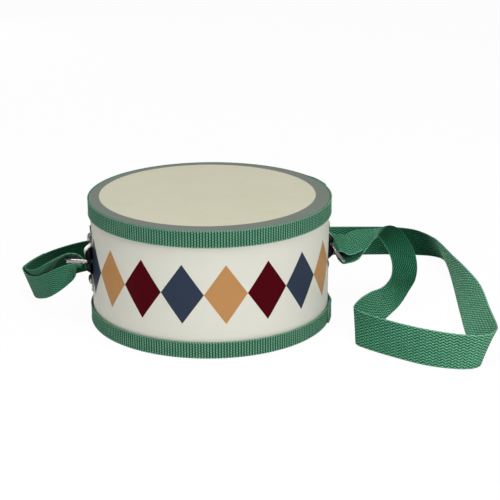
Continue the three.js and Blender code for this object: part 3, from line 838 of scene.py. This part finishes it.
class Finish:
    """One material and the nodes that make it."""

    def __init__(self, name):
        self.material = bpy.data.materials.new(name)
        self.material.use_nodes = True
        self.tree = self.material.node_tree
        self.tree.nodes.clear()
        self.output = self.tree.nodes.new("ShaderNodeOutputMaterial")

    def node(self, kind, settings, *inputs, out=0, **named):
        """Adds a node: its settings first, then its sockets by order or by name."""
        made = self.tree.nodes.new(kind)
        for key, value in settings.items():
            if key == "stops":
                self.set_stops(made, value)
            else:
                setattr(made, key, value)
        for index, value in enumerate(inputs):
            self.feed(made.inputs[index], value)
        for key, value in named.items():
            self.feed(made.inputs[key.replace("_", " ")], value)
        return Signal(self, made.outputs[out])

    def set_stops(self, made, stops):
        elements = made.color_ramp.elements
        while len(elements) < len(stops):
            elements.new(0.5)
        for element, (place, value) in zip(elements, stops):
            element.position = place
            element.color = value

    def feed(self, socket, value):
        if isinstance(value, Signal):
            self.tree.links.new(value.socket, socket)
        else:
            socket.default_value = value

    def place(self):
        """The point on the piece, in metres, as one vector and its three parts."""
        point = self.node("ShaderNodeTexCoord", {}, out=3)
        parts = self.tree.nodes.new("ShaderNodeSeparateXYZ")
        self.tree.links.new(point.socket, parts.inputs[0])
        return point, *(Signal(self, parts.outputs[index]) for index in range(3))

    def run(self):
        """Centimetres along and across a strip of webbing."""
        point = self.node("ShaderNodeUVMap", {"uv_map": "run"})
        parts = self.tree.nodes.new("ShaderNodeSeparateXYZ")
        self.tree.links.new(point.socket, parts.inputs[0])
        return point, Signal(self, parts.outputs[0]), Signal(self, parts.outputs[1])

    def noise(self, point, scale, detail=2.0, roughness=0.5):
        return self.node(
            "ShaderNodeTexNoise", {}, Vector=point, Scale=scale, Detail=detail, Roughness=roughness,
        )

    def mix(self, share, first, second, how="MIX"):
        return self.node("ShaderNodeMixRGB", {"blend_type": how}, share, first, second)

    def bump(self, height, distance, strength):
        return self.node("ShaderNodeBump", {}, Strength=strength, Distance=distance, Height=height)

    def surface(self, **named):
        shader = self.node("ShaderNodeBsdfPrincipled", {}, **named)
        self.tree.links.new(shader.socket, self.output.inputs[0])
        return self.material


def wear(piece_objects, material):
    """Gives the material to each of the pieces."""
    for item in piece_objects:
        item.data.materials.clear()
        item.data.materials.append(material)


# Colours

OFF_WHITE = colour(224, 223, 211)
OFF_WHITE_DULL = colour(214, 213, 203)
NAVY = colour(50, 60, 78)
TAN = colour(190, 140, 88)
MAROON = colour(76, 0, 12)
INK_WORN = colour(120, 110, 105)
CREAM = colour(214, 211, 187)
CREAM_CLOUD = colour(201, 198, 172)
CREAM_FIBRE = colour(188, 180, 152)
CREAM_RIM = colour(226, 224, 200)
BORDER_GREY = colour(118, 128, 118)
BORDER_CLOUD = colour(106, 114, 106)
GREEN_DEEP = colour(16, 78, 50)
GREEN = colour(66, 144, 108)
# Pale green: fibre flecks, and the painted highlights on the strap's thread crests and selvedges
GREEN_PALE = colour(150, 208, 180)
GREEN_DULL = colour(42, 96, 68)
STITCHING = colour(126, 142, 116)
RIB_DEEP = colour(14, 64, 40)
RIB_GREEN = colour(52, 112, 82)
RIB_PALE = colour(140, 190, 164)
RIB_DULL = colour(36, 88, 62)
OVERLOCK_DEEP = colour(44, 98, 72)
OVERLOCK_PALE = colour(132, 182, 158)
OVERLOCK_FIBRE = colour(170, 204, 186)
NICKEL = colour(168, 163, 160)
NICKEL_HAZE = colour(134, 130, 130)
# Nearly black: painted shade and painted dark reflection on the bracket bridges
PAINTED_SHADE_BLACK = colour(14, 14, 16)
PLY_PALE = colour(214, 184, 136)
PLY_GRAIN = colour(176, 138, 90)
WHITE = colour(255, 255, 255)
FLOOR_GRAIN = colour(250, 250, 250)

DIAMOND_STEP_DEG = 20.0
FIRST_DIAMOND_EDGE_DEG = -173.1
DIAMOND_MIDDLE = 0.0532
DIAMOND_HALF_HEIGHT = 0.0246
DIAMOND_EDGE_SHARPNESS = 70


def diamond_print():
    """Off-white sleeve with a row of navy, tan and maroon diamonds that touch tip to tip."""
    finish = Finish("diamond print")
    point, x, y, z = finish.place()
    angle = finish.node("ShaderNodeMath", {"operation": "ARCTAN2"}, y, x)
    cells = (angle * (180 / math.pi) - FIRST_DIAMOND_EDGE_DEG) / DIAMOND_STEP_DEG
    sideways = abs(cells.fract() - 0.5) * 2
    upright = abs(z - DIAMOND_MIDDLE) / DIAMOND_HALF_HEIGHT
    inside = ((1 - sideways - upright) * DIAMOND_EDGE_SHARPNESS + 0.5).clamp()
    order = cells.floor().math("FLOORED_MODULO", 3.0)
    ink = finish.mix(order > 0.5, NAVY, TAN)
    ink = finish.mix(order > 1.5, ink, MAROON)
    mottle = finish.noise(point, 900.0, 3.0)
    cloud = finish.noise(point, 14.0, 2.0)
    ground = finish.mix((cloud - 0.5) * 0.35 + 0.1, OFF_WHITE, OFF_WHITE_DULL)
    ink = finish.mix(mottle * 0.006, ink, INK_WORN)
    shade = finish.mix(inside, ground, ink)
    gloss = 0.42 + (mottle - 0.5) * 0.12 - inside * 0.06
    relief = finish.bump(mottle + inside * 0.6, 0.00003, 0.5)
    return finish.surface(
        Base_Color=shade, Roughness=gloss, Normal=relief, Specular_IOR_Level=0.03,
    )


CREAM_RADIUS = 0.0904
CREAM_SHIFT_X = -0.0019
CREAM_SHIFT_Y = 0.0019
CREAM_EDGE_SHARPNESS = 3500
CREAM_RIM_SHARPNESS = 1800


def drum_film():
    """Cream drum film with a printed grey border, slightly off centre."""
    finish = Finish("drum film")
    point, x, y, _ = finish.place()
    dx = x - CREAM_SHIFT_X
    dy = y - CREAM_SHIFT_Y
    reach = (dx * dx + dy * dy).math("SQRT")
    inside = ((CREAM_RADIUS - reach) * CREAM_EDGE_SHARPNESS + 0.5).clamp()
    cloud = finish.noise(point, 22.0, 3.0, 0.55)
    fibre = finish.noise(point, 260.0, 4.0, 0.6)
    cream = finish.mix((cloud - 0.35) * 0.9, CREAM, CREAM_CLOUD)
    cream = finish.mix((fibre - 0.5).clamp() * 0.5, cream, CREAM_FIBRE)
    border = finish.mix((cloud - 0.3) * 0.8, BORDER_GREY, BORDER_CLOUD)
    rim = (1 - abs(reach - CREAM_RADIUS) * CREAM_RIM_SHARPNESS).clamp()
    shade = finish.mix(inside, border, cream)
    shade = finish.mix(rim * 0.25, shade, CREAM_RIM)
    relief = finish.bump(fibre + inside * 0.4, 0.00004, 0.4)
    return finish.surface(
        Base_Color=shade, Roughness=0.4 + (cloud - 0.5) * 0.15, Normal=relief, Specular_IOR_Level=0.25,
    )


# Painted shade and light along the strap, as a tone by station, counted from the first station after the left
# end
PAINTED_SHADING_ALONG = [
    (1, 0.22), (3, 0.2), (6, 0.78), (7, 0.82), (9, 0.22), (11, 0.26), (13, 1.34), (18, 1.44), (22, 1.12),
    (24, 0.9), (27, 1.0), (29, 1.02), (31.3, 0.48), (33.5, 0.48), (34.5, 0.38), (35.5, 0.28), (36.5, 0.18),
    (37.35, 0.18), (37.5, 1.15), (37.7, 1.15), (37.9, 0.95), (39, 0.9),
]
# Painted shade on the strap's left end and on its outer ply
PAINTED_SHADING_LEFT_END = 0.8
PAINTED_SHADING_LEFT_PLY = 0.65
# How red and blue follow the painted shading's tone: in the shade they fall faster than green, for a deeper
# green
PAINTED_SHADING_RED_POWER = 1.7
PAINTED_SHADING_BLUE_POWER = 1.15


def painted_shading_stops():
    """The painted shade and light along the strap, as shares of its length with a tone each."""
    first = len(left_end)
    ply = len(LEFT_TAIL) + len(LEFT_LOOP)
    tones = [(0, PAINTED_SHADING_LEFT_END), (len(LEFT_TAIL), PAINTED_SHADING_LEFT_END), (ply + 3, PAINTED_SHADING_LEFT_PLY)]
    tones += [(first + station, tone) for station, tone in PAINTED_SHADING_ALONG]
    return [
        (run_at(station) / STRAP_LENGTH, (tone**PAINTED_SHADING_RED_POWER, tone, tone**PAINTED_SHADING_BLUE_POWER, 1))
        for station, tone in tones
    ]


FINE_THREADS = 14


def webbing_cloth():
    """Green polyester webbing: herringbone lines with painted highlights on the thread crests and dark gaps,
    painted highlights on the selvedges, and painted shade and light along its length.
    """
    finish = Finish("strap webbing")
    point, along, across = finish.run()
    phase = along * (CM / WEAVE_WAVE)
    swing = (4 * abs(phase - (phase + 0.5).floor()) - 1) * (WEAVE_SWING / CM)
    line = ((across - swing) * (2 * math.pi * CM / WEAVE_LINE)).cosine()
    crest = line * 0.5 + 0.5
    beat = (phase * (4 * math.pi)).cosine() * 0.5 + 0.5
    fine = ((along + across * 0.6) * (2 * math.pi * FINE_THREADS)).cosine() * 0.5 + 0.5
    fibre = finish.noise(point, 60.0, 3.0, 0.7)
    patch = finish.noise(point, 0.9, 2.0, 0.5)
    shade = finish.mix(crest, GREEN_DEEP, GREEN)
    # Painted highlights: pale glints on the thread crests, strongest on the beat
    lit = ((crest - 0.55) * 2.2).clamp() * (beat * 0.75 + 0.25) * (fine * 0.4 + 0.6)
    shade = finish.mix(lit * 0.75, shade, GREEN_PALE)
    shade = finish.mix((fibre - 0.5).clamp() * 0.5, shade, GREEN_PALE)
    shade = finish.mix((patch - 0.42) * 0.8, shade, GREEN_DULL)
    # Painted highlight along the selvedges: they are paler, and in the painted shade they keep some of their
    # light
    selvedge = abs(across) > (STRAP_WIDTH / 2 - SELVEDGE) / CM
    shade = finish.mix(selvedge * 0.22, shade, GREEN_PALE)
    # Painted shade and light: the colour is multiplied by a tone along the strap's length
    tone = finish.node("ShaderNodeValToRGB", {"stops": painted_shading_stops()}, along * (CM / STRAP_LENGTH))
    shade = finish.mix(1 - selvedge * 0.22, shade, tone, "MULTIPLY")
    shade = finish.mix(across > STITCH_MARK / 2, shade, STITCHING)
    height = crest * 0.6 + fine * 0.25 + fibre * 0.2
    relief = finish.bump(height, 0.00028, 0.7)
    return finish.surface(
        Base_Color=shade, Roughness=0.6 + (fibre - 0.5) * 0.2, Normal=relief, Specular_IOR_Level=0.06,
    )


SLANTING_THREADS = 4.6


def trim_cloth():
    """Ribbed webbing for the rims: upright ribs with slanting threads between them."""
    finish = Finish("trim webbing")
    point, along, across = finish.run()
    ribs = along * (CM / RIB_PITCH)
    rib = abs((ribs * math.pi).cosine())
    slant = across * SLANTING_THREADS + (ribs + 0.5).floor() * 0.5
    thread = (slant * (2 * math.pi)).cosine() * 0.5 + 0.5
    fibre = finish.noise(point, 45.0, 3.0, 0.7)
    patch = finish.noise(point, 1.5, 2.0, 0.5)
    shade = finish.mix((rib * 1.5 - 0.3).clamp(), RIB_DEEP, RIB_GREEN)
    shade = finish.mix(((rib - 0.55) * 2.4).clamp() * (thread * 0.8 + 0.2) * 0.8, shade, RIB_PALE)
    shade = finish.mix((fibre - 0.5).clamp() * 0.5, shade, GREEN_PALE)
    shade = finish.mix((patch - 0.4) * 0.7, shade, RIB_DULL)
    relief = finish.bump(rib * 0.5 + thread * 0.35 + fibre * 0.25, 0.00025, 0.7)
    return finish.surface(
        Base_Color=shade, Roughness=0.64 + (fibre - 0.5) * 0.2, Normal=relief, Specular_IOR_Level=0.12,
    )


def pale_thread():
    """Overlocked edge thread, paler than the webbing."""
    finish = Finish("edge thread")
    point, x, y, _ = finish.place()
    fibre = finish.noise(point, 1600.0, 3.0, 0.7)
    angle = finish.node("ShaderNodeMath", {"operation": "ARCTAN2"}, y, x)
    twist = (angle * (TRIM_INNER * 2 * math.pi / RIB_PITCH)).cosine() * 0.5 + 0.5
    shade = finish.mix(twist, OVERLOCK_DEEP, OVERLOCK_PALE)
    shade = finish.mix((fibre - 0.5).clamp(), shade, OVERLOCK_FIBRE)
    relief = finish.bump(fibre + twist, 0.0001, 0.6)
    return finish.surface(
        Base_Color=shade, Roughness=0.7 + (fibre - 0.5) * 0.15, Normal=relief, Specular_IOR_Level=0.15,
    )


RAMP_FOOT = 0.05
RAMP_HEAD = 0.95
# How far the painted shade in the bridges reaches across and outwards
PAINTED_SHADE_SIDES = 0.55
PAINTED_SHADE_SKIN = 0.4


def plated_steel():
    """Nickel plating with fine wipe marks, with painted shade inside the bridges and a painted dark
    reflection on their ramps, strongest on the lower ramps.
    """
    finish = Finish("plated steel")
    point, x, y, z = finish.place()
    bracket = math.radians(RIGHT_BRACKET_DEG)
    sideways = abs(y * math.cos(bracket) - x * math.sin(bracket)) * (1 / MM)
    outwards = abs(x * math.cos(bracket) + y * math.sin(bracket)) * (1 / MM)
    level = z * (1 / MM) - BRACKET_HEIGHT
    climb = ((BRIDGE_LENGTH / 2 - abs(level)) / BRIDGE_RAMP).clamp()
    lift = (climb * (math.pi / 2)).math("SINE") * BRIDGE_RISE
    # Painted shade: nearly black under each bridge, on its cheeks and on the ring's bar inside it
    under = (climb > RAMP_FOOT) * (outwards < lift + (PLATE_SEAT + PAINTED_SHADE_SKIN))
    # Painted dark reflection on both ramps, strongest on the lower one
    ramp = (climb > RAMP_FOOT) * (climb < RAMP_HEAD) * ((level < 0.0) * 0.75 + 0.25)
    painted_shade_mask = (under + ramp).clamp() * (sideways < PLATE_WIDTH * PAINTED_SHADE_SIDES)
    haze = finish.noise(point, 60.0, 3.0, 0.6)
    marks = finish.noise(point, 700.0, 4.0, 0.7)
    shade = finish.mix(haze * 0.5, NICKEL, NICKEL_HAZE)
    shade = finish.mix(painted_shade_mask * 0.92, shade, PAINTED_SHADE_BLACK)
    gloss = 0.16 + haze * 0.14 + (marks - 0.5) * 0.08 + painted_shade_mask * 0.3
    relief = finish.bump(marks, 0.00002, 0.35)
    return finish.surface(Base_Color=shade, Metallic=1.0, Roughness=gloss, Normal=relief)


def plywood():
    """Pale plywood for the shell, hoops and batten inside the drum."""
    finish = Finish("plywood")
    point, _, _, _ = finish.place()
    stretched = finish.node("ShaderNodeMapping", {}, point, Scale=(6.0, 6.0, 160.0))
    grain = finish.noise(stretched, 6.0, 5.0, 0.6)
    shade = finish.mix(grain, PLY_PALE, PLY_GRAIN)
    relief = finish.bump(grain, 0.0002, 0.4)
    return finish.surface(Base_Color=shade, Roughness=0.62 + grain * 0.15, Normal=relief)


wear([sleeve_piece], diamond_print())
wear([top_film, bottom_film], drum_film())
wear([strap_left, strap_middle, strap_right], webbing_cloth())
wear([upper_trim, lower_trim], trim_cloth())
wear([*upper_threads, *lower_threads], pale_thread())
steel = plated_steel()
wear(hardware, steel)
wear([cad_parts[name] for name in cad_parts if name.endswith("_washer")], steel)
wear([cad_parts[name] for name in ("shell", "seam_batten", "top_hoop", "bottom_hoop")], plywood())


# Floor, backdrop and lights, in metres

FLOOR_REACH = 6.0
FLOOR_DROP = 0.0003
GLOW_SHARE = 0.96
FILL_STRENGTH = 0.3


def white_ground():
    """White floor: it takes the drum's shadow and looks white to the camera and in the plating."""
    finish = Finish("white ground")
    point, _, _, _ = finish.place()
    grain = finish.noise(point, 30.0, 2.0)
    paint = finish.mix(grain * 0.02, WHITE, FLOOR_GRAIN)
    diffuse = finish.node("ShaderNodeBsdfDiffuse", {}, Color=paint)
    glow = finish.node("ShaderNodeEmission", {}, Color=WHITE, Strength=1.0)
    rays = finish.tree.nodes.new("ShaderNodeLightPath")
    seen = Signal(finish, rays.outputs["Is Camera Ray"])
    mirrored = Signal(finish, rays.outputs["Is Glossy Ray"])
    through = Signal(finish, rays.outputs["Is Transmission Ray"])
    share = (seen + mirrored + through).clamp() * GLOW_SHARE
    shader = finish.node("ShaderNodeMixShader", {}, share, diffuse, glow)
    finish.tree.links.new(shader.socket, finish.output.inputs[0])
    return finish.material


floor_corners = [(x * FLOOR_REACH, y * FLOOR_REACH, 0) for x, y in ((-1, -1), (1, -1), (1, 1), (-1, 1))]
floor_mesh = bpy.data.meshes.new("floor")
floor_mesh.from_pydata(floor_corners, [], [(0, 1, 2, 3)])
floor = bpy.data.objects.new("floor", floor_mesh)
floor.location.z = -FLOOR_DROP
bpy.context.scene.collection.objects.link(floor)
floor_mesh.materials.append(white_ground())

world = bpy.data.worlds.new("studio")
bpy.context.scene.world = world
world.use_nodes = True
background = world.node_tree.nodes["Background"]
light_path = world.node_tree.nodes.new("ShaderNodeLightPath")
shown = world.node_tree.nodes.new("ShaderNodeMath")
shown.operation = "MAXIMUM"
world.node_tree.links.new(light_path.outputs["Is Camera Ray"], shown.inputs[0])
world.node_tree.links.new(light_path.outputs["Is Transmission Ray"], shown.inputs[1])
strength = world.node_tree.nodes.new("ShaderNodeMapRange")
strength.inputs["To Min"].default_value = FILL_STRENGTH
strength.inputs["To Max"].default_value = 1.0
world.node_tree.links.new(shown.outputs[0], strength.inputs["Value"])
world.node_tree.links.new(strength.outputs[0], background.inputs["Strength"])
background.inputs["Color"].default_value = (1, 1, 1, 1)


def area_light(name, place, target, size, power):
    """A soft studio lamp aimed at a point."""
    data = bpy.data.lights.new(name, "AREA")
    data.shape = "SQUARE"
    data.size = size
    data.energy = power
    lamp = bpy.data.objects.new(name, data)
    bpy.context.scene.collection.objects.link(lamp)
    lamp.location = place
    aim = Vector(target) - Vector(place)
    lamp.rotation_euler = aim.to_track_quat("-Z", "Y").to_euler()


area_light("key", place=(0.72, -1.4, 0.95), target=(0.02, 0, 0.06), size=0.6, power=10.2)
area_light("top", place=(0.0, -0.4, 1.5), target=(0.0, 0, 0.0), size=0.8, power=12.0)
area_light("back", place=(-0.7, 1.4, 0.22), target=(0.0, 0, 0.05), size=0.5, power=2.5)

bpy.context.scene.view_settings.view_transform = "Standard"

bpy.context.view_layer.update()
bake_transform(strap_left)
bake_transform(strap_right)
